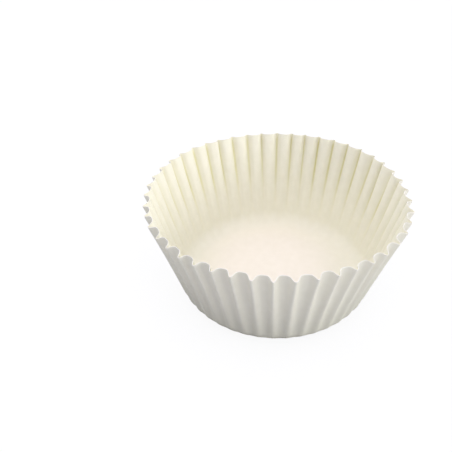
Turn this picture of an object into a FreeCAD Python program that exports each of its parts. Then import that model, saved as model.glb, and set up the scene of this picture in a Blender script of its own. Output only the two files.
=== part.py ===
import FreeCAD, Part
import math
import os

import Sketcher

# A baking cup pressed from one round sheet of greaseproof paper.
# Millimetres, +Z up. The origin is the middle of the floor's underside, so the cup stands on z = 0.
# The floor stays flat, a rounded shoulder turns the paper up, and the wall above it is folded into
# pleats that deepen towards the rim. Every fold runs along a ray of the flat sheet.

# Driving dimensions: alias, value and what it measures. Lengths are in millimetres.
SIZES = (
    ("floor_radius", 22.9, "centre of the floor to the start of the shoulder"),
    ("shoulder_radius", 4.1, "bend from floor to wall, middle of the paper"),
    ("rim_radius", 33.9, "mouth, centre to the middle of the pleats"),
    ("wall_height", 28.8, "floor to cut edge, at the middle of the pleats"),
    ("paper_thickness", 0.1, "one layer of paper"),
    ("pleat_count", 46, "pleats round the wall"),
    ("inner_fold_share", 0.29, "share of a pleat's paper that lies flat on the inside"),
    ("outer_fold_share", 0.05, "share of a pleat's paper that lies flat on the outside"),
    ("pleat_lean", 0.5, "share of the gap that the first flank spans, 0.5 is upright"),
)

# Levels of the folded sheet: equal steps round the shoulder, then growing steps up the wall
SHOULDER_STEPS = 4
WALL_STEPS = 4


def add_sizes(doc):
    """Puts the driving dimensions into the document's spreadsheet."""
    sheet = doc.addObject("Spreadsheet::Sheet", "sizes")
    for row, (alias, value, note) in enumerate(SIZES, start=1):
        sheet.set(f"A{row}", alias)
        sheet.set(f"B{row}", str(value))
        sheet.set(f"C{row}", note)
        sheet.setAlias(f"B{row}", alias)
    doc.recompute()
    return sheet


def add_meridian(doc, sheet):
    """Draws the middle of the paper from the floor's centre to the rim, on the XZ plane."""
    floor, bend = sheet.floor_radius, sheet.shoulder_radius
    sketch = doc.addObject("Sketcher::SketchObject", "meridian")
    upright = FreeCAD.Rotation(FreeCAD.Vector(1, 0, 0), 90)
    sketch.Placement = FreeCAD.Placement(FreeCAD.Vector(0, 0, 0), upright)

    # First guess, which the constraints below make exact
    slope = math.atan2(sheet.wall_height, sheet.rim_radius - floor)
    centre = FreeCAD.Vector(floor, bend, 0)
    corner = centre + FreeCAD.Vector(math.sin(slope), -math.cos(slope), 0) * bend
    mouth = FreeCAD.Vector(sheet.rim_radius, sheet.wall_height, 0)
    origin = FreeCAD.Vector(0, 0, 0)
    circle = Part.Circle(centre, FreeCAD.Vector(0, 0, 1), bend)
    base = sketch.addGeometry(Part.LineSegment(origin, FreeCAD.Vector(floor, 0, 0)))
    shoulder = sketch.addGeometry(Part.ArcOfCircle(circle, -math.pi / 2, slope - math.pi / 2))
    wall = sketch.addGeometry(Part.LineSegment(corner, mouth))

    start, end, root = 1, 2, -1
    add = sketch.addConstraint
    add(Sketcher.Constraint("Coincident", base, start, root, start))
    add(Sketcher.Constraint("Horizontal", base))
    add(Sketcher.Constraint("Tangent", base, end, shoulder, start))
    add(Sketcher.Constraint("Tangent", shoulder, end, wall, start))
    measures = (
        ("floor_radius", Sketcher.Constraint("DistanceX", root, start, base, end, floor)),
        ("shoulder_radius", Sketcher.Constraint("Radius", shoulder, bend)),
        ("rim_radius", Sketcher.Constraint("DistanceX", root, start, wall, end, mouth.x)),
        ("wall_height", Sketcher.Constraint("DistanceY", root, start, wall, end, mouth.y)),
    )
    for alias, constraint in measures:
        index = add(constraint)
        sketch.renameConstraint(index, alias)
        sketch.setExpression(f"Constraints.{alias}", f"<<sizes>>.{alias}")
    doc.recompute()
    return sketch


class Station:
    """One level of the cup: where the meridian is after a given length of paper."""

    def __init__(self, edge, along, paper):
        """along is the length on this edge, paper the length from the floor's centre."""
        parameter = edge.getParameterByLength(along)
        point = edge.valueAt(parameter)
        run = edge.tangentAt(parameter)
        self.paper = paper
        self.radius = point.x
        self.height = point.z
        self.outward = (run.z, -run.x)


def make_stations(sketch):
    """Levels from the floor's edge to the rim, close together where the pleats begin."""
    base, shoulder, wall = sketch.Shape.Edges
    levels = [
        Station(shoulder, shoulder.Length * step / SHOULDER_STEPS,
                base.Length + shoulder.Length * step / SHOULDER_STEPS)
        for step in range(SHOULDER_STEPS + 1)
    ]
    for step in range(1, WALL_STEPS + 1):
        along = wall.Length * (step / WALL_STEPS) ** 2
        levels.append(Station(wall, along, base.Length + shoulder.Length + along))
    return levels


def pleat_section(station, sheet):
    """Corners of one pleat as (share of the pitch, offset from the meridian, thickness vector).

    The paper of a pleat is as long as the flat sheet is wide at this distance from its centre.
    Its two flat folds and two flanks have that length in all, and together they span the pitch,
    which gives the depth.
    """
    pitch = 2 * math.pi * station.radius / sheet.pleat_count
    paper = 2 * math.pi * station.paper / sheet.pleat_count
    inner = sheet.inner_fold_share * paper
    outer = sheet.outer_fold_share * paper
    gap = pitch - inner - outer
    first, second = gap * sheet.pleat_lean, gap * (1 - sheet.pleat_lean)
    flanks = paper - inner - outer
    first_length = (flanks + (first ** 2 - second ** 2) / flanks) / 2
    depth = math.sqrt(first_length ** 2 - first ** 2)
    second_length = flanks - first_length
    # Unit normals on the outside of the paper, for flat fold, rising flank and falling flank
    flat = (0.0, 1.0)
    rising = (-depth / first_length, first / first_length)
    falling = (depth / second_length, second / second_length)
    return [
        (-inner / 2 / pitch, -depth / 2, miter(falling, flat)),
        (inner / 2 / pitch, -depth / 2, miter(flat, rising)),
        ((inner / 2 + first) / pitch, depth / 2, miter(rising, flat)),
        ((inner / 2 + first + outer) / pitch, depth / 2, miter(flat, falling)),
    ]


def miter(one, other):
    """Vector from the middle of a fold to its outer corner, for paper one unit to each side."""
    scale = 1 + one[0] * other[0] + one[1] * other[1]
    return ((one[0] + other[0]) / scale, (one[1] + other[1]) / scale)


def plain_section(station, sheet):
    """The same corners where the paper is a plain ring, marked where the folds will start."""
    marks = pleat_section(station, sheet)
    return [(share, 0.0, (0.0, 1.0)) for share, offset, thickness in marks]


def ring_points(station, section, sheet, side):
    """Corner points round the cup at one level; side is 1 on the outside and -1 on the inside."""
    half = side * sheet.paper_thickness / 2
    out_r, out_z = station.outward
    points = []
    for pleat in range(int(sheet.pleat_count)):
        for share, offset, (across, proud) in section:
            angle = 2 * math.pi * (pleat + share) / sheet.pleat_count
            away = offset + half * proud
            radius = station.radius + away * out_r
            sideways = half * across
            points.append(FreeCAD.Vector(
                radius * math.sin(angle) + sideways * math.cos(angle),
                -radius * math.cos(angle) + sideways * math.sin(angle),
                station.height + away * out_z,
            ))
    return points


def face(*points):
    """A flat face through the given corners."""
    return Part.Face(Part.makePolygon([*points, points[0]]))


def band(lower, upper, flat):
    """Faces between two rings: one flat panel a side, or two triangles where the paper twists."""
    faces = []
    for here in range(len(lower)):
        after = (here + 1) % len(lower)
        if flat:
            faces.append(face(lower[here], lower[after], upper[after], upper[here]))
            continue
        faces.append(face(lower[here], lower[after], upper[after]))
        faces.append(face(lower[here], upper[after], upper[here]))
    return faces


def fold_liner(sheet, sketch):
    """Folds the sheet: floor, shoulder and pleated wall as one closed solid."""
    stations = make_stations(sketch)
    plain = plain_section(stations[SHOULDER_STEPS], sheet)
    sections = [
        plain if index <= SHOULDER_STEPS else pleat_section(station, sheet)
        for index, station in enumerate(stations)
    ]
    skins = {}
    faces = []
    for side in (1, -1):
        rings = [
            ring_points(station, section, sheet, side)
            for station, section in zip(stations, sections)
        ]
        skins[side] = rings
        faces.append(face(*rings[0]))
        for index in range(len(rings) - 1):
            faces += band(rings[index], rings[index + 1], index < SHOULDER_STEPS)
    # The cut edge of the sheet closes the paper along the rim
    faces += band(skins[1][-1], skins[-1][-1], False)
    solid = Part.Solid(Part.Shell(faces))
    if solid.Volume < 0:
        solid.reverse()
    return solid


def add_liner(doc, sheet, sketch):
    """Adds the folded sheet, lifted by half the paper so that its underside is at z = 0."""
    liner = doc.addObject("Part::Feature", "paper_liner")
    liner.Label = "paper_liner"
    liner.Shape = fold_liner(sheet, sketch)
    liner.Placement = FreeCAD.Placement(FreeCAD.Vector(0, 0, 0), FreeCAD.Rotation())
    liner.setExpression("Placement.Base.z", "<<sizes>>.paper_thickness / 2")
    return liner


def check(doc, parts):
    """Stops the build if anything in the document failed or a part isn't one sound solid."""
    for item in doc.Objects:
        if "Invalid" in item.State or "Error" in item.State:
            raise RuntimeError(f"{item.Name} failed: {item.State}")
    for part in parts:
        shape = part.Shape
        if shape.isNull() or not shape.isValid() or len(shape.Solids) != 1:
            raise RuntimeError(f"{part.Label} isn't one valid solid")


def main():
    """Builds the document and writes one STEP file for each part."""
    doc = FreeCAD.newDocument("baking_cup")
    sheet = add_sizes(doc)
    sketch = add_meridian(doc, sheet)
    parts = [add_liner(doc, sheet, sketch)]
    doc.recompute()
    check(doc, parts)
    os.makedirs("parts", exist_ok=True)
    for part in parts:
        part.Shape.exportStep(os.path.join("parts", f"{part.Label}.step"))
        box = part.Shape.BoundBox
        print(f"{part.Label}: {box.XLength:.2f} x {box.YLength:.2f} x {box.ZLength:.2f} mm,",
              f"{len(part.Shape.Faces)} faces, {part.Shape.Volume:.1f} cubic mm")


main()
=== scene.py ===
"""Greaseproof baking cup: one round sheet of paper with a flat floor and a pleated, flared wall."""

import logging
import math
from dataclasses import dataclass, field
from enum import Enum

import bpy
import numpy as np
from mathutils import Matrix, Vector

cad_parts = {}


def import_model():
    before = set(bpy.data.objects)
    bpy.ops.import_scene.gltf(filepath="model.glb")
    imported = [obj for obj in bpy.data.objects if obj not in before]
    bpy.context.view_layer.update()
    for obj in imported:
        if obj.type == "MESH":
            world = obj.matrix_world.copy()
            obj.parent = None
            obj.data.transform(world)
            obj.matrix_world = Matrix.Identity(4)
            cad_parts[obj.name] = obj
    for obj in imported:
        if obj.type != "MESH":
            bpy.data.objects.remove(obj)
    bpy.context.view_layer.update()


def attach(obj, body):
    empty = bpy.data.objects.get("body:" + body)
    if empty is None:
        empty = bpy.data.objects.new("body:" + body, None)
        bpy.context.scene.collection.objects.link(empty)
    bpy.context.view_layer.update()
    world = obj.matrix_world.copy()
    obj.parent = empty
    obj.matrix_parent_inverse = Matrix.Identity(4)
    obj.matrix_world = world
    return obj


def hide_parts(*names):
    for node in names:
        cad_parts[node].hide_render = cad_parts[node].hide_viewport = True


log = logging.getLogger("baking_cup")

NODE = "paper_liner"
BODY = "root"
MM = 0.001
TURN = 2 * math.pi

# Layout of the UV map: a disc for each face of the paper, and a strip above them for the cut edge
DISC_RADIUS = 0.24
DISC_CENTRES = ((0.25, 0.25), (0.75, 0.25))
STRIP_LOW, STRIP_HIGH, STRIP_MARGIN = 0.60, 0.61, 0.02


class Skin(Enum):
    """The two faces of the paper, as the side of its middle surface on which each lies."""

    OUTSIDE = 1
    INSIDE = -1


def linear(hex_colour: str) -> tuple[float, float, float, float]:
    """Turns an sRGB hex colour into a linear colour with full alpha.

    Args:
        hex_colour: six hex digits after a hash sign.

    Returns:
        Red, green, blue and alpha from 0 to 1.
    """
    parts = [int(hex_colour[place:place + 2], 16) / 255 for place in (1, 3, 5)]
    low, high = [part / 12.92 for part in parts], [((part + 0.055) / 1.055) ** 2.4 for part in parts]
    red, green, blue = (a if part <= 0.04045 else b for part, a, b in zip(parts, low, high))
    return red, green, blue, 1.0


def add_node(tree: bpy.types.NodeTree, kind: str, settings: dict | None = None,
             links: dict | None = None, **attributes) -> bpy.types.Node:
    """Adds one shader node.

    Args:
        tree: the node tree that gets it.
        kind: the node's Blender type.
        settings: socket name or number to the value it holds.
        links: socket name or number to the output socket that feeds it.
        **attributes: the node's own options, such as operation.

    Returns:
        The new node.
    """
    node = tree.nodes.new(kind)
    for name, value in attributes.items():
        setattr(node, name, value)
    for name, value in (settings or {}).items():
        node.inputs[name].default_value = value
    for name, output in (links or {}).items():
        tree.links.new(output, node.inputs[name])
    return node


def clear_nodes(owner: bpy.types.Material | bpy.types.World) -> bpy.types.NodeTree:
    """Turns on the nodes of a material or world and removes those that it starts with."""
    owner.use_nodes = True
    owner.node_tree.nodes.clear()
    return owner.node_tree


def seen_directly(tree: bpy.types.NodeTree) -> bpy.types.NodeSocket:
    """Adds a value that is 1 for rays from the camera or off a gloss, and 0 for all others."""
    rays = add_node(tree, "ShaderNodeLightPath")
    either = add_node(tree, "ShaderNodeMath", operation="MAXIMUM", links={
        0: rays.outputs["Is Camera Ray"], 1: rays.outputs["Is Glossy Ray"]})
    return either.outputs["Value"]


def add_object(name: str, data: bpy.types.ID) -> bpy.types.Object:
    """Puts a new object with this data into the scene."""
    item = bpy.data.objects.new(name, data)
    bpy.context.scene.collection.objects.link(item)
    return item


@dataclass(frozen=True)
class GreaseproofPaper:
    """Bleached greaseproof paper: beaten pulp, pressed dense and calendered.

    The eye sees a soft off-white sheet with cloudy fibre clumps, a faint satin sheen, light that
    comes a little through it, and a raw, paler edge where it was die-cut.
    """

    name: str = "calendered_greaseproof_paper"
    base: str = "#FAF7E4"
    thick_clumps: str = "#F7F4E0"
    cut_fibre: str = "#FBF8F1"
    # Painted shade: a yellow-grey darkening along the bottom of each flute inside the cup, where the crease
    # lies in shade
    painted_flute_shade: str = "#D8D290"
    glow: str = "#F4EFD2"
    glow_share: float = 0.12
    roughness: float = 0.62
    ior: float = 1.5
    gloss: float = 0.3
    # Spacing of the clumps of pulp and of the fibres, which are drawn ten times as coarse as real
    # ones so that they show, and the height of both
    clump_mm: float = 2.2
    fibre_mm: float = 0.35
    relief_mm: float = 0.012

    def build(self, unit_mm: float) -> bpy.types.Material:
        """Makes the material; its patterns follow the flat sheet through the UV map.

        Args:
            unit_mm: millimetres of flat sheet in one unit of the UV map.

        Returns:
            The material.
        """
        material = bpy.data.materials.new(self.name)
        tree = clear_nodes(material)
        sheet = add_node(tree, "ShaderNodeUVMap", uv_map="flat_sheet").outputs["UV"]
        clumps = add_node(tree, "ShaderNodeTexNoise", {"Scale": unit_mm / self.clump_mm, "Detail": 3.0},
                          {"Vector": sheet}).outputs["Fac"]
        fibres = add_node(tree, "ShaderNodeTexNoise", {"Scale": unit_mm / self.fibre_mm, "Detail": 2.0},
                          {"Vector": sheet}).outputs["Fac"]
        clouding = add_node(tree, "ShaderNodeMapRange", {"From Min": 0.35, "From Max": 0.65},
                            {"Value": clumps}).outputs["Result"]
        body = add_node(tree, "ShaderNodeMix", {"A": linear(self.thick_clumps), "B": linear(self.base)},
                        {"Factor": clouding}, data_type="RGBA")
        # Mask of the painted shade along the bottom of each flute inside the cup
        flute_shade_mask = add_node(tree, "ShaderNodeAttribute", attribute_name="painted_flute_shade").outputs["Fac"]
        flute_shaded = add_node(tree, "ShaderNodeMix", {"B": linear(self.painted_flute_shade)},
                           {"Factor": flute_shade_mask, "A": body.outputs["Result"]}, data_type="RGBA")
        cut = add_node(tree, "ShaderNodeAttribute", attribute_name="cut_edge").outputs["Fac"]
        colour = add_node(tree, "ShaderNodeMix", {"B": linear(self.cut_fibre)},
                          {"Factor": cut, "A": flute_shaded.outputs["Result"]}, data_type="RGBA")
        relief = add_node(tree, "ShaderNodeMath", links={0: clumps, 1: fibres}, operation="ADD")
        bump = add_node(tree, "ShaderNodeBump", {"Strength": 0.5, "Distance": self.relief_mm * MM},
                        {"Height": relief.outputs["Value"]})
        paper = add_node(tree, "ShaderNodeBsdfPrincipled",
                         {"Roughness": self.roughness, "IOR": self.ior, "Specular IOR Level": self.gloss},
                         {"Base Color": colour.outputs["Result"], "Normal": bump.outputs["Normal"]})
        through = add_node(tree, "ShaderNodeBsdfTranslucent", {"Color": linear(self.glow)})
        mixed = add_node(tree, "ShaderNodeMixShader", {0: self.glow_share},
                         {1: paper.outputs["BSDF"], 2: through.outputs["BSDF"]})
        add_node(tree, "ShaderNodeOutputMaterial", links={"Surface": mixed.outputs["Shader"]})
        return material


@dataclass(frozen=True)
class SweepPaper:
    """Matte white background paper under the cup, as wide as a studio roll.

    It reads as white to the camera and keeps a soft part of the cup's shadow. Round the cup's foot it
    has a painted shadow, a dark ring that only bounced light sees, so the wall darkens towards the floor.
    """

    name: str = "matte_background_paper"
    white: str = "#FFFFFF"
    bounce: str = "#D2D2DA"
    # Painted shadow: the floor's colour for bounced light is dark round the cup's foot
    painted_foot_shadow: str = "#2A2A30"
    foot_radius: float = 0.031
    clear_radius: float = 0.085
    shadow_share: float = 0.1

    def build(self) -> bpy.types.Material:
        """Makes the material."""
        material = bpy.data.materials.new(self.name)
        tree = clear_nodes(material)
        seen = seen_directly(tree)
        shown = add_node(tree, "ShaderNodeMath", {1: 1 - self.shadow_share}, {0: seen},
                         operation="MULTIPLY")
        place = add_node(tree, "ShaderNodeTexCoord").outputs["Object"]
        reach = add_node(tree, "ShaderNodeVectorMath", links={0: place}, operation="LENGTH")
        # The painted foot shadow fades from foot_radius out to clear_radius
        clear = add_node(tree, "ShaderNodeMapRange",
                         {"From Min": self.foot_radius, "From Max": self.clear_radius},
                         {"Value": reach.outputs["Value"]}, interpolation_type="SMOOTHSTEP")
        thrown = add_node(tree, "ShaderNodeMix", {"A": linear(self.painted_foot_shadow), "B": linear(self.bounce)},
                          {"Factor": clear.outputs["Result"]}, data_type="RGBA")
        tint = add_node(tree, "ShaderNodeMix", {"B": linear(self.white)},
                        {"A": thrown.outputs["Result"], "Factor": seen}, data_type="RGBA")
        matte = add_node(tree, "ShaderNodeBsdfDiffuse", links={"Color": tint.outputs["Result"]})
        bright = add_node(tree, "ShaderNodeEmission", {"Color": linear(self.white), "Strength": 1.0})
        mixed = add_node(tree, "ShaderNodeMixShader", links={0: shown.outputs["Value"],
                         1: matte.outputs["BSDF"], 2: bright.outputs["Emission"]})
        add_node(tree, "ShaderNodeOutputMaterial", links={"Surface": mixed.outputs["Shader"]})
        return material


@dataclass
class Meridian:
    """The line from the floor's centre to the rim, at the middle of the paper, in millimetres."""

    floor_radius: float
    shoulder_radius: float
    rim_radius: float
    wall_height: float
    slope: float = field(init=False)
    shoulder_end: float = field(init=False)
    paper_radius: float = field(init=False)

    def __post_init__(self) -> None:
        """Finds the wall's slope: a line from the rim that touches the shoulder's arc."""
        run, rise = self.rim_radius - self.floor_radius, self.wall_height - self.shoulder_radius
        wall = math.sqrt(run ** 2 + rise ** 2 - self.shoulder_radius ** 2)
        self.slope = math.atan2(rise, run) + math.atan2(self.shoulder_radius, wall)
        self.shoulder_end = self.floor_radius + self.shoulder_radius * self.slope
        self.paper_radius = self.shoulder_end + wall

    def at(self, paper: np.ndarray) -> tuple[np.ndarray, np.ndarray, np.ndarray]:
        """Follows the line: flat floor, then an arc, then a straight wall.

        Args:
            paper: distances from the centre of the flat sheet.

        Returns:
            Radius, height and the line's angle above the floor at each distance.
        """
        turned = np.clip((paper - self.floor_radius) / self.shoulder_radius, 0, self.slope)
        up_wall = np.maximum(paper - self.shoulder_end, 0)
        radius = np.minimum(paper, self.floor_radius) + self.shoulder_radius * np.sin(turned)
        height = self.shoulder_radius * (1 - np.cos(turned)) + up_wall * math.sin(self.slope)
        return radius + up_wall * math.cos(self.slope), height, turned


@dataclass
class PleatedCup:
    """The folded sheet, as a surface of two parameters: paper from the centre, and turn round it.

    Lengths are in millimetres. Folds run along rays of the flat sheet, so at any distance from its
    centre the wave of pleats is as long as the circle that it was folded from.
    """

    pleats: int = 46
    # Shares of a pleat's paper that lie flat on the inside and on the outside, and the share of the
    # gap between them that the first flank spans, where a half makes even pleats
    inner_share: float = 0.35
    outer_share: float = 0.05
    lean: float = 0.5
    thickness: float = 0.1
    line: Meridian = field(default_factory=lambda: Meridian(22.1, 5.1, 33.9, 28.8))
    # How far below the shoulder's end the pleats start, and over how much paper they reach their depth
    fold_start_mm: float = 4.4
    fold_onset_mm: float = 4.5
    # Half the stretch of paper that rounds each fold, in pleats: low on the wall, and at the rim
    inner_rounding: tuple[float, float] = (0.18, 0.13)
    outer_rounding: tuple[float, float] = (0.23, 0.13)
    rounding_power: float = 2.0
    rounding_steps: int = 11
    # Cuts across an inner fold, a flank, an outer fold and the other flank, and rings up the cup
    panel_cuts: tuple[int, int, int, int] = (6, 7, 5, 7)
    floor_rings: tuple[float, ...] = (0.2, 0.45, 0.7, 0.88, 1.0)
    shoulder_rings: int = 6
    wall_rings: int = 20
    ring_growth: float = 1.5
    # Unevenness: spread of the folds in pleats, and spread of their depth as a share of it
    pleat_scatter: float = 0.045
    depth_scatter: float = 0.09
    # The mouth: how far out of round and towards which azimuth, and three low waves along the edge
    oval_mm: float = 0.35
    oval_degrees: float = 70
    rim_wave_mm: float = 0.25
    rim_wave_shift: float = 0.6
    # Painted shade in the flutes: half-width of the mark, its strength at places from shoulder (0) to
    # rim (1), and the weakest pleat's share of it
    flute_shade_mm: float = 0.60
    flute_shade_places: tuple[float, ...] = (-0.05, 0.3, 0.6, 0.93, 0.985)
    flute_shade_strengths: tuple[float, ...] = (0, 0.25, 1, 1, 0.2)
    flute_shade_least: float = 0.55
    seed: int = 7

    def rings(self) -> np.ndarray:
        """Distances from the sheet's centre at which the surface is worked out, closest at the shoulder."""
        floor = np.array(self.floor_rings) * self.line.floor_radius
        bend = np.linspace(self.line.floor_radius, self.line.shoulder_end, self.shoulder_rings + 1)[1:]
        steps = (np.arange(1, self.wall_rings + 1) / self.wall_rings) ** self.ring_growth
        wall = self.line.shoulder_end + (self.line.paper_radius - self.line.shoulder_end) * steps
        return np.concatenate([floor, bend, wall])

    def up_wall(self, paper: np.ndarray) -> np.ndarray:
        """How far up the wall each distance lies, from 0 at the shoulder's end to 1 at the rim."""
        start = self.line.shoulder_end
        return (paper - start) / (self.line.paper_radius - start)

    def folds(self, paper: np.ndarray) -> tuple[np.ndarray, np.ndarray]:
        """Places the four folds of every pleat at each ring.

        The paper of one pleat is its pitch of the flat sheet. Its two flat folds take fixed shares of
        it, the flanks have the rest, and the flanks' spans and lengths give the depth by Pythagoras.

        Args:
            paper: distances from the sheet's centre, one for each ring.

        Returns:
            Azimuths in radians and offsets from the meridian, each rings by folds.
        """
        radius, _, _ = self.line.at(paper)
        start = self.line.shoulder_end - self.fold_start_mm
        held = np.maximum(paper, start)
        held_radius = np.maximum(radius, self.line.at(np.array([start]))[0][0])
        arc = TURN * held / self.pleats
        pitch = TURN * held_radius / self.pleats
        inner, outer = self.inner_share * arc, self.outer_share * arc
        gap = pitch - inner - outer
        first, second = gap * self.lean, gap * (1 - self.lean)
        flanks = arc - inner - outer
        length = (flanks + (first ** 2 - second ** 2) / flanks) / 2
        depth = np.sqrt(np.maximum(length ** 2 - first ** 2, 0))
        onset = np.clip((paper - start) / self.fold_onset_mm, 0, 1)
        depth = depth * onset * onset * (3 - 2 * onset)
        shares = np.stack([-inner / 2, inner / 2, inner / 2 + first, inner / 2 + first + outer]) / pitch
        offsets = np.stack([-depth, -depth, depth, depth]) / 2

        # Each pleat strays a little, and each of its folds half as much, more towards the rim
        random = np.random.default_rng(self.seed)
        growth = np.clip((paper - start) / (self.line.paper_radius - start), 0, 1)[:, None]
        stray = random.normal(0, self.pleat_scatter, (1, self.pleats, 4)) / 2
        stray = stray + random.normal(0, self.pleat_scatter, (1, self.pleats, 1))
        deepen = 1 + random.normal(0, self.depth_scatter, (1, self.pleats, 4))
        count = np.arange(self.pleats)[None, :, None]
        azimuth = (count + shares.T[:, None, :] + stray * growth[:, :, None]) * TURN / self.pleats
        offset = offsets.T[:, None, :] * (1 + (deepen - 1) * growth[:, :, None])
        shape = (len(paper), self.pleats * 4)
        return azimuth.reshape(shape), offset.reshape(shape)

    def fold_marks(self) -> np.ndarray:
        """Where the folds lie along the wave, in pleats from the first, as shares of the sheet."""
        flank = (1 - self.inner_share - self.outer_share) / 2
        ends = np.array([0, self.inner_share, self.inner_share + flank, 1 - flank]) - self.inner_share / 2
        return (np.arange(self.pleats)[:, None] + ends[None, :]).ravel()

    def wave_samples(self, marks: np.ndarray) -> np.ndarray:
        """Points along the wave: each panel is cut with a cosine spacing, closest at its folds."""
        ends = np.append(marks, marks[0] + self.pleats)
        panels = []
        for panel, cuts in enumerate(self.panel_cuts):
            share = (1 - np.cos(math.pi * np.arange(cuts) / cuts)) / 2
            low, high = ends[panel:-1:4], ends[panel + 1::4]
            panels.append(low[:, None] + (high - low)[:, None] * share[None, :])
        return np.concatenate(panels, axis=1).ravel()

    def rounded_wave(self, paper: np.ndarray, samples: np.ndarray) -> tuple[np.ndarray, np.ndarray]:
        """Rounds the folds of the wave, which is a polygon in azimuth and offset.

        Each value is the mean of the polygon over a short stretch of paper. The stretch changes up the
        wall, and swings between its inner and outer width with the cosine of the place in the pleat.

        Args:
            paper: distances from the sheet's centre, one for each ring.
            samples: places along the wave, in pleats.

        Returns:
            Azimuth in radians and offset from the meridian, each rings by samples.
        """
        azimuth, offset = self.folds(paper)
        marks = self.fold_marks()
        azimuth = np.concatenate([azimuth[:, -2:] - TURN, azimuth, azimuth[:, :2] + TURN], axis=1)
        offset = np.concatenate([offset[:, -2:], offset, offset[:, :2]], axis=1)
        marks = np.concatenate([marks[-2:] - self.pleats, marks, marks[:2] + self.pleats])
        near_rim = np.clip(self.up_wall(paper), 0, 1)[:, None] ** self.rounding_power
        inner, outer = (low + (rim - low) * near_rim
                        for low, rim in (self.inner_rounding, self.outer_rounding))
        at_outer = (1 - np.cos(TURN * samples))[None, :] / 2
        rounding = inner + (outer - inner) * at_outer
        angle, away = 0.0, 0.0
        for shift in np.linspace(-1, 1, self.rounding_steps):
            at = samples + shift * rounding
            left = np.clip(np.searchsorted(marks, at, side="right") - 1, 0, len(marks) - 2)
            share = (at - marks[left]) / (marks[left + 1] - marks[left])
            for_left, for_right = (1 - share) / self.rounding_steps, share / self.rounding_steps
            angle = angle + (np.take_along_axis(azimuth, left, 1) * for_left
                             + np.take_along_axis(azimuth, left + 1, 1) * for_right)
            away = away + (np.take_along_axis(offset, left, 1) * for_left
                           + np.take_along_axis(offset, left + 1, 1) * for_right)
        return angle, away

    def middle(self) -> tuple[np.ndarray, np.ndarray]:
        """Works out the middle of the paper.

        A point's azimuth is the rounded wave's. Its radius and height are the meridian's, moved by
        the wave's offset square to the meridian.

        Returns:
            Points, rings by samples by three, and the flat sheet's azimuth at each sample.
        """
        paper = self.rings()
        samples = self.wave_samples(self.fold_marks())
        angle, away = self.rounded_wave(paper, samples)
        radius, height, tilt = (value[:, None] for value in self.line.at(paper))
        growth = np.clip(self.up_wall(paper), 0, 1)[:, None]
        oval = self.oval_mm * growth * np.cos(2 * (angle - math.radians(self.oval_degrees)))
        wave = self.rim_wave_mm * growth ** 2 * np.sin(3 * angle + self.rim_wave_shift)
        reach = radius + away * np.sin(tilt) + oval
        points = np.stack([
            reach * np.sin(angle),
            -reach * np.cos(angle),
            height - away * np.cos(tilt) + wave + self.thickness / 2,
        ], axis=2)
        return points, samples * TURN / self.pleats

    def skin(self, points: np.ndarray, side: Skin) -> np.ndarray:
        """One face of the paper: the middle surface moved along its normal by half the thickness."""
        round_cup = np.roll(points, -1, axis=1) - np.roll(points, 1, axis=1)
        up_cup = np.gradient(points, axis=0)
        normal = np.cross(round_cup, up_cup)
        normal /= np.linalg.norm(normal, axis=2, keepdims=True)
        return points + normal * (side.value * self.thickness / 2)

    def mesh(self) -> bpy.types.Mesh:
        """Builds the closed sheet: both faces of the paper, joined along the cut edge.

        Returns:
            The mesh in metres. The flat sheet is its UV map, and the cut edge and the painted shade in
            the flutes are attributes.
        """
        points, turn = self.middle()
        rings, around = points.shape[:2]
        skins = [self.skin(points, side) for side in Skin]
        centre = self.thickness / 2
        poles = [np.array([[0, 0, centre - side.value * centre]]) for side in Skin]
        block = rings * around
        vertices = np.concatenate([skins[0].reshape(-1, 3), skins[1].reshape(-1, 3), *poles]) * MM

        here = np.arange(around)
        after = np.roll(here, -1)
        row = (np.arange(rings - 1) * around)[:, None]
        outside = np.stack([row + here, row + after, row + around + after, row + around + here], axis=2)
        outside = outside.reshape(-1, 4)
        inside = outside[:, ::-1] + block
        top = (rings - 1) * around
        cut = np.stack([top + here, top + after, top + after + block, top + here + block], axis=1)
        fans = [np.stack([np.full(around, 2 * block), after, here], axis=1),
                np.stack([np.full(around, 2 * block + 1), here + block, after + block], axis=1)]
        faces = [*outside.tolist(), *inside.tolist(), *cut.tolist(), *fans[0].tolist(), *fans[1].tolist()]

        mesh = bpy.data.meshes.new("pleated_paper_cup")
        mesh.from_pydata(vertices.tolist(), [], faces)
        mesh.shade_smooth()
        self.write_flat_sheet(mesh, self.rings(), turn, block, len(outside) * 2, len(cut))
        self.mark_cut_edge(mesh, rings, around)
        self.paint_flute_shade(mesh, turn)
        return mesh

    def write_flat_sheet(self, mesh: bpy.types.Mesh, paper: np.ndarray, turn: np.ndarray, block: int,
                         quads: int, cuts: int) -> None:
        """Writes the UV map: the flat disc of each face of the paper, side by side.

        Args:
            mesh: the finished mesh.
            paper: distance of each ring from the sheet's centre.
            turn: azimuth of each sample on the flat sheet.
            block: vertices in one face of the paper; not used.
            quads: four-sided faces before those of the cut edge.
            cuts: faces of the cut edge.
        """
        reach = DISC_RADIUS * (paper / paper[-1])[:, None]
        disc = np.stack([reach * np.cos(turn), reach * np.sin(turn)], axis=2).reshape(-1, 2)
        centres = np.array(DISC_CENTRES)
        flat = np.concatenate([disc + centres[0], disc + centres[1], centres])
        corners = np.empty(len(mesh.loops), dtype=np.int32)
        mesh.loops.foreach_get("vertex_index", corners)
        where = flat[corners]
        strip = slice(quads * 4, (quads + cuts) * 4)
        along = np.arange(cuts)[:, None] + np.array([0, 1, 1, 0])
        across = np.tile([STRIP_LOW, STRIP_LOW, STRIP_HIGH, STRIP_HIGH], (cuts, 1))
        along = STRIP_MARGIN + (1 - 2 * STRIP_MARGIN) * along / cuts
        where[strip] = np.stack([along, across], axis=2).reshape(-1, 2)
        layer = mesh.uv_layers.new(name="flat_sheet")
        layer.data.foreach_set("uv", where.astype(np.float32).ravel())

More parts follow.
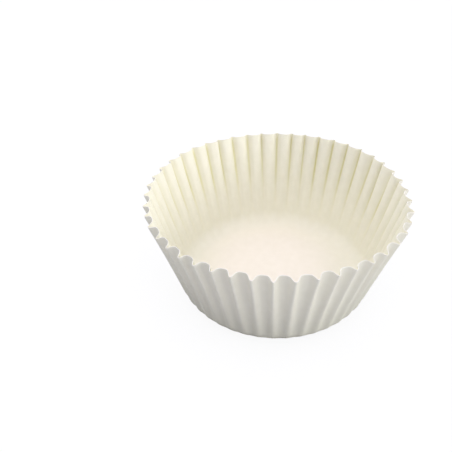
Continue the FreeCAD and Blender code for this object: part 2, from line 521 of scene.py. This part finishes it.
    def mark_cut_edge(self, mesh: bpy.types.Mesh, rings: int, around: int) -> None:
        """Keeps the die-cut edge crisp and marks it for the paper's raw fibre.

        Args:
            mesh: the finished mesh.
            rings: rings in one face of the paper.
            around: vertices in one ring.
        """
        block, top = rings * around, (rings - 1) * around
        ends = np.empty(len(mesh.edges) * 2, dtype=np.int32)
        mesh.edges.foreach_get("vertices", ends)
        ends = ends.reshape(-1, 2)
        on_rim = (ends % block >= top) & (ends < 2 * block)
        same_skin = ends[:, 0] // block == ends[:, 1] // block
        sharp = mesh.attributes.new("sharp_edge", "BOOLEAN", "EDGE")
        sharp.data.foreach_set("value", on_rim.all(axis=1) & same_skin)
        cut = np.zeros(len(mesh.polygons), dtype=np.float32)
        first = (rings - 1) * around * 2
        cut[first:first + around] = 1
        mesh.attributes.new("cut_edge", "FLOAT", "FACE").data.foreach_set("value", cut)

    def paint_flute_shade(self, mesh: bpy.types.Mesh, turn: np.ndarray) -> None:
        """Paints shade along the bottom of each flute inside the cup, where the crease lies in shade.

        The mark is a bell across the fold: e to the minus square of the distance from it, in
        half-widths. It grows up the wall and stops short of the rim.

        Args:
            mesh: the finished mesh.
            turn: azimuth of each sample on the flat sheet.
        """
        paper = self.rings()
        along = np.interp(self.up_wall(paper), self.flute_shade_places, self.flute_shade_strengths)[:, None]
        pleat = turn / TURN * self.pleats
        off_fold = np.abs(pleat % 1 - 0.5)[None, :] * (TURN * paper / self.pleats)[:, None]
        random = np.random.default_rng(self.seed + 1)
        strengths = random.uniform(self.flute_shade_least, 1.0, self.pleats)
        strength = strengths[np.floor(pleat).astype(int) % self.pleats]
        # The painted flute shade: a bell across each flute's bottom, on the inside face only
        flute_shade_mask = np.exp(-(off_fold / self.flute_shade_mm) ** 2) * along * strength
        # Outside face, inside face, then the two middles of the floor
        marks = np.concatenate([np.zeros(flute_shade_mask.size), flute_shade_mask.ravel(), np.zeros(2)])
        layer = mesh.attributes.new("painted_flute_shade", "FLOAT", "POINT")
        layer.data.foreach_set("value", marks.astype(np.float32))

    def dress(self, paper: GreaseproofPaper) -> bpy.types.Object:
        """Makes the cup's object, gives it its paper and puts it in the place of the plain solid."""
        mesh = self.mesh()
        mesh.materials.append(paper.build(self.line.paper_radius / DISC_RADIUS))
        cup = add_object("pleated_paper_cup", mesh)
        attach(cup, BODY)
        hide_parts(NODE)
        return cup


def hang(light: bpy.types.Light, place: tuple[float, float, float]) -> bpy.types.Object:
    """Puts a lamp's light into the scene at its place, pointing straight down."""
    lamp = add_object(light.name, light)
    lamp.location = place
    return lamp


@dataclass(frozen=True)
class SoftLamp:
    """A soft box: where it hangs, its width and height in metres, power, colour and aim."""

    name: str
    place: tuple[float, float, float]
    size: tuple[float, float]
    power: float
    colour: str
    aim: tuple[float, float, float] = (0.0, 0.0, 0.015)

    def build(self) -> bpy.types.Object:
        """Hangs the lamp and turns it to its aim."""
        light = bpy.data.lights.new(self.name, "AREA")
        light.shape = "RECTANGLE"
        light.size, light.size_y = self.size
        light.energy = self.power
        light.color = linear(self.colour)[:3]
        lamp = hang(light, self.place)
        lamp.rotation_mode = "QUATERNION"
        lamp.rotation_quaternion = (Vector(self.aim) - Vector(self.place)).to_track_quat("-Z", "Y")
        return lamp


@dataclass(frozen=True)
class SnootLamp:
    """A lamp in a snoot, which throws a soft-edged pool of light with a radius of reach metres."""

    name: str
    place: tuple[float, float, float]
    reach: float
    power: float
    colour: str
    bulb: float = 0.006
    edge: float = 0.65

    def build(self) -> bpy.types.Object:
        """Hangs the lamp, which points straight down."""
        light = bpy.data.lights.new(self.name, "SPOT")
        light.spot_size = 2 * math.atan2(self.reach, self.place[2])
        light.spot_blend = self.edge
        light.shadow_soft_size = self.bulb
        light.energy = self.power
        light.color = linear(self.colour)[:3]
        return hang(light, self.place)


@dataclass
class Studio:
    """The set: a white sweep under the cup, a pale room and soft lamps.

    The room's light falls from overhead to horizon times as much at eye level.
    """

    sweep_width: float = 6.0
    room: str = "#EBEDFC"
    room_strength: float = 1.60
    horizon: float = 0.26
    lamps: tuple[SoftLamp | SnootLamp, ...] = (
        SoftLamp("key_soft_box", (-0.08, -0.05, 0.85), (0.50, 0.50), 0.6, "#FFDCE0"),
        SnootLamp("floor_snoot", (-0.002, 0.005, 0.85), 0.0215, 3.35, "#FFC8F6"),
        SoftLamp("side_soft_box", (0.80, -0.32, 0.20), (0.90, 0.30), 3.5, "#FBFCFF"),
        SoftLamp("back_soft_box", (-0.82, 0.32, 0.16), (0.40, 0.25), 1.15, "#FBFCFF"),
    )

    def build(self) -> None:
        """Lays the sweep, lights the room and hangs the lamps."""
        half = self.sweep_width / 2
        mesh = bpy.data.meshes.new("white_sweep")
        square = [(-half, -half, 0), (half, -half, 0), (half, half, 0), (-half, half, 0)]
        mesh.from_pydata(square, [], [(0, 1, 2, 3)])
        mesh.materials.append(SweepPaper().build())
        sweep = add_object("white_sweep", mesh)
        self.light_room()
        for lamp in self.lamps:
            lamp.build()

    def light_room(self) -> None:
        """Makes a pale room that lights the cup softly and reads as plain white behind it."""
        world = bpy.data.worlds.new("pale_room")
        bpy.context.scene.world = world
        tree = clear_nodes(world)
        upward = add_node(tree, "ShaderNodeSeparateXYZ", links={
            "Vector": add_node(tree, "ShaderNodeTexCoord").outputs["Generated"]})
        ceiling = add_node(tree, "ShaderNodeMapRange", {
            "To Min": self.room_strength * self.horizon, "To Max": self.room_strength},
            {"Value": upward.outputs["Z"]})
        room = add_node(tree, "ShaderNodeBackground", {"Color": linear(self.room)},
                        {"Strength": ceiling.outputs["Result"]})
        white = add_node(tree, "ShaderNodeBackground", {"Color": linear("#FFFFFF"), "Strength": 1.0})
        mixed = add_node(tree, "ShaderNodeMixShader", links={0: seen_directly(tree),
                         1: room.outputs["Background"], 2: white.outputs["Background"]})
        add_node(tree, "ShaderNodeOutputWorld", links={"Surface": mixed.outputs["Shader"]})


@dataclass
class PhotoCamera:
    """The photograph's viewpoint, from a camera model fitted to the cup's floor and rim.

    Angles are in degrees. The camera is aimed at the middle of the mouth, then turned by pan, tilt
    and roll, so that the cup lies right of the middle as in the photograph.
    """

    frame_px: float = 452
    focal_px: float = 534.06
    distance: float = 0.14099
    elevation: float = 33.54
    azimuth: float = 3.69
    pan: float = -5.2
    tilt: float = 3.55
    roll: float = 0.98
    mouth_height: float = 0.0285
    sensor_mm: float = 36

    def build(self) -> bpy.types.Object:
        """Adds the camera and makes it the scene's own."""
        data = bpy.data.cameras.new("photo_camera")
        data.sensor_width = self.sensor_mm
        data.lens = self.focal_px / self.frame_px * self.sensor_mm
        data.clip_start = 0.005
        camera = add_object("photo_camera", data)
        camera.matrix_world = self.placement()
        bpy.context.scene.camera = camera
        return camera

    def placement(self) -> Matrix:
        """Works out the camera's matrix.

        Returns:
            The matrix: a turn about the cup's axis, the aim, then pan, tilt and roll in the frame.
        """
        rise = math.radians(self.elevation)
        back = Vector((0, -math.cos(rise), math.sin(rise)))
        right = Vector((1, 0, 0))
        aimed = Matrix((right, back.cross(right), back)).transposed().to_4x4()
        turned = (Matrix.Rotation(math.radians(-self.pan), 4, "Y")
                  @ Matrix.Rotation(math.radians(-self.tilt), 4, "X")
                  @ Matrix.Rotation(math.radians(self.roll), 4, "Z"))
        place = Matrix.Translation(Vector((0, 0, self.mouth_height)) + back * self.distance)
        return Matrix.Rotation(math.radians(self.azimuth), 4, "Z") @ place @ aimed @ turned


def corners(box: tuple[Vector, Vector]) -> list[list[float]]:
    """Turns a box's two corners into plain lists of numbers."""
    return [list(corner) for corner in box]


def main() -> None:
    """Builds the cup, the studio and the camera."""
    logging.basicConfig(level=logging.INFO, format="%(message)s")
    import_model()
    cup = PleatedCup().dress(GreaseproofPaper())
    log.info("%s: %d faces", cup.name, len(cup.data.polygons))
    Studio().build()
    PhotoCamera().build()
    bpy.context.scene.view_settings.view_transform = "Standard"


if __name__ == "__main__":
    main()
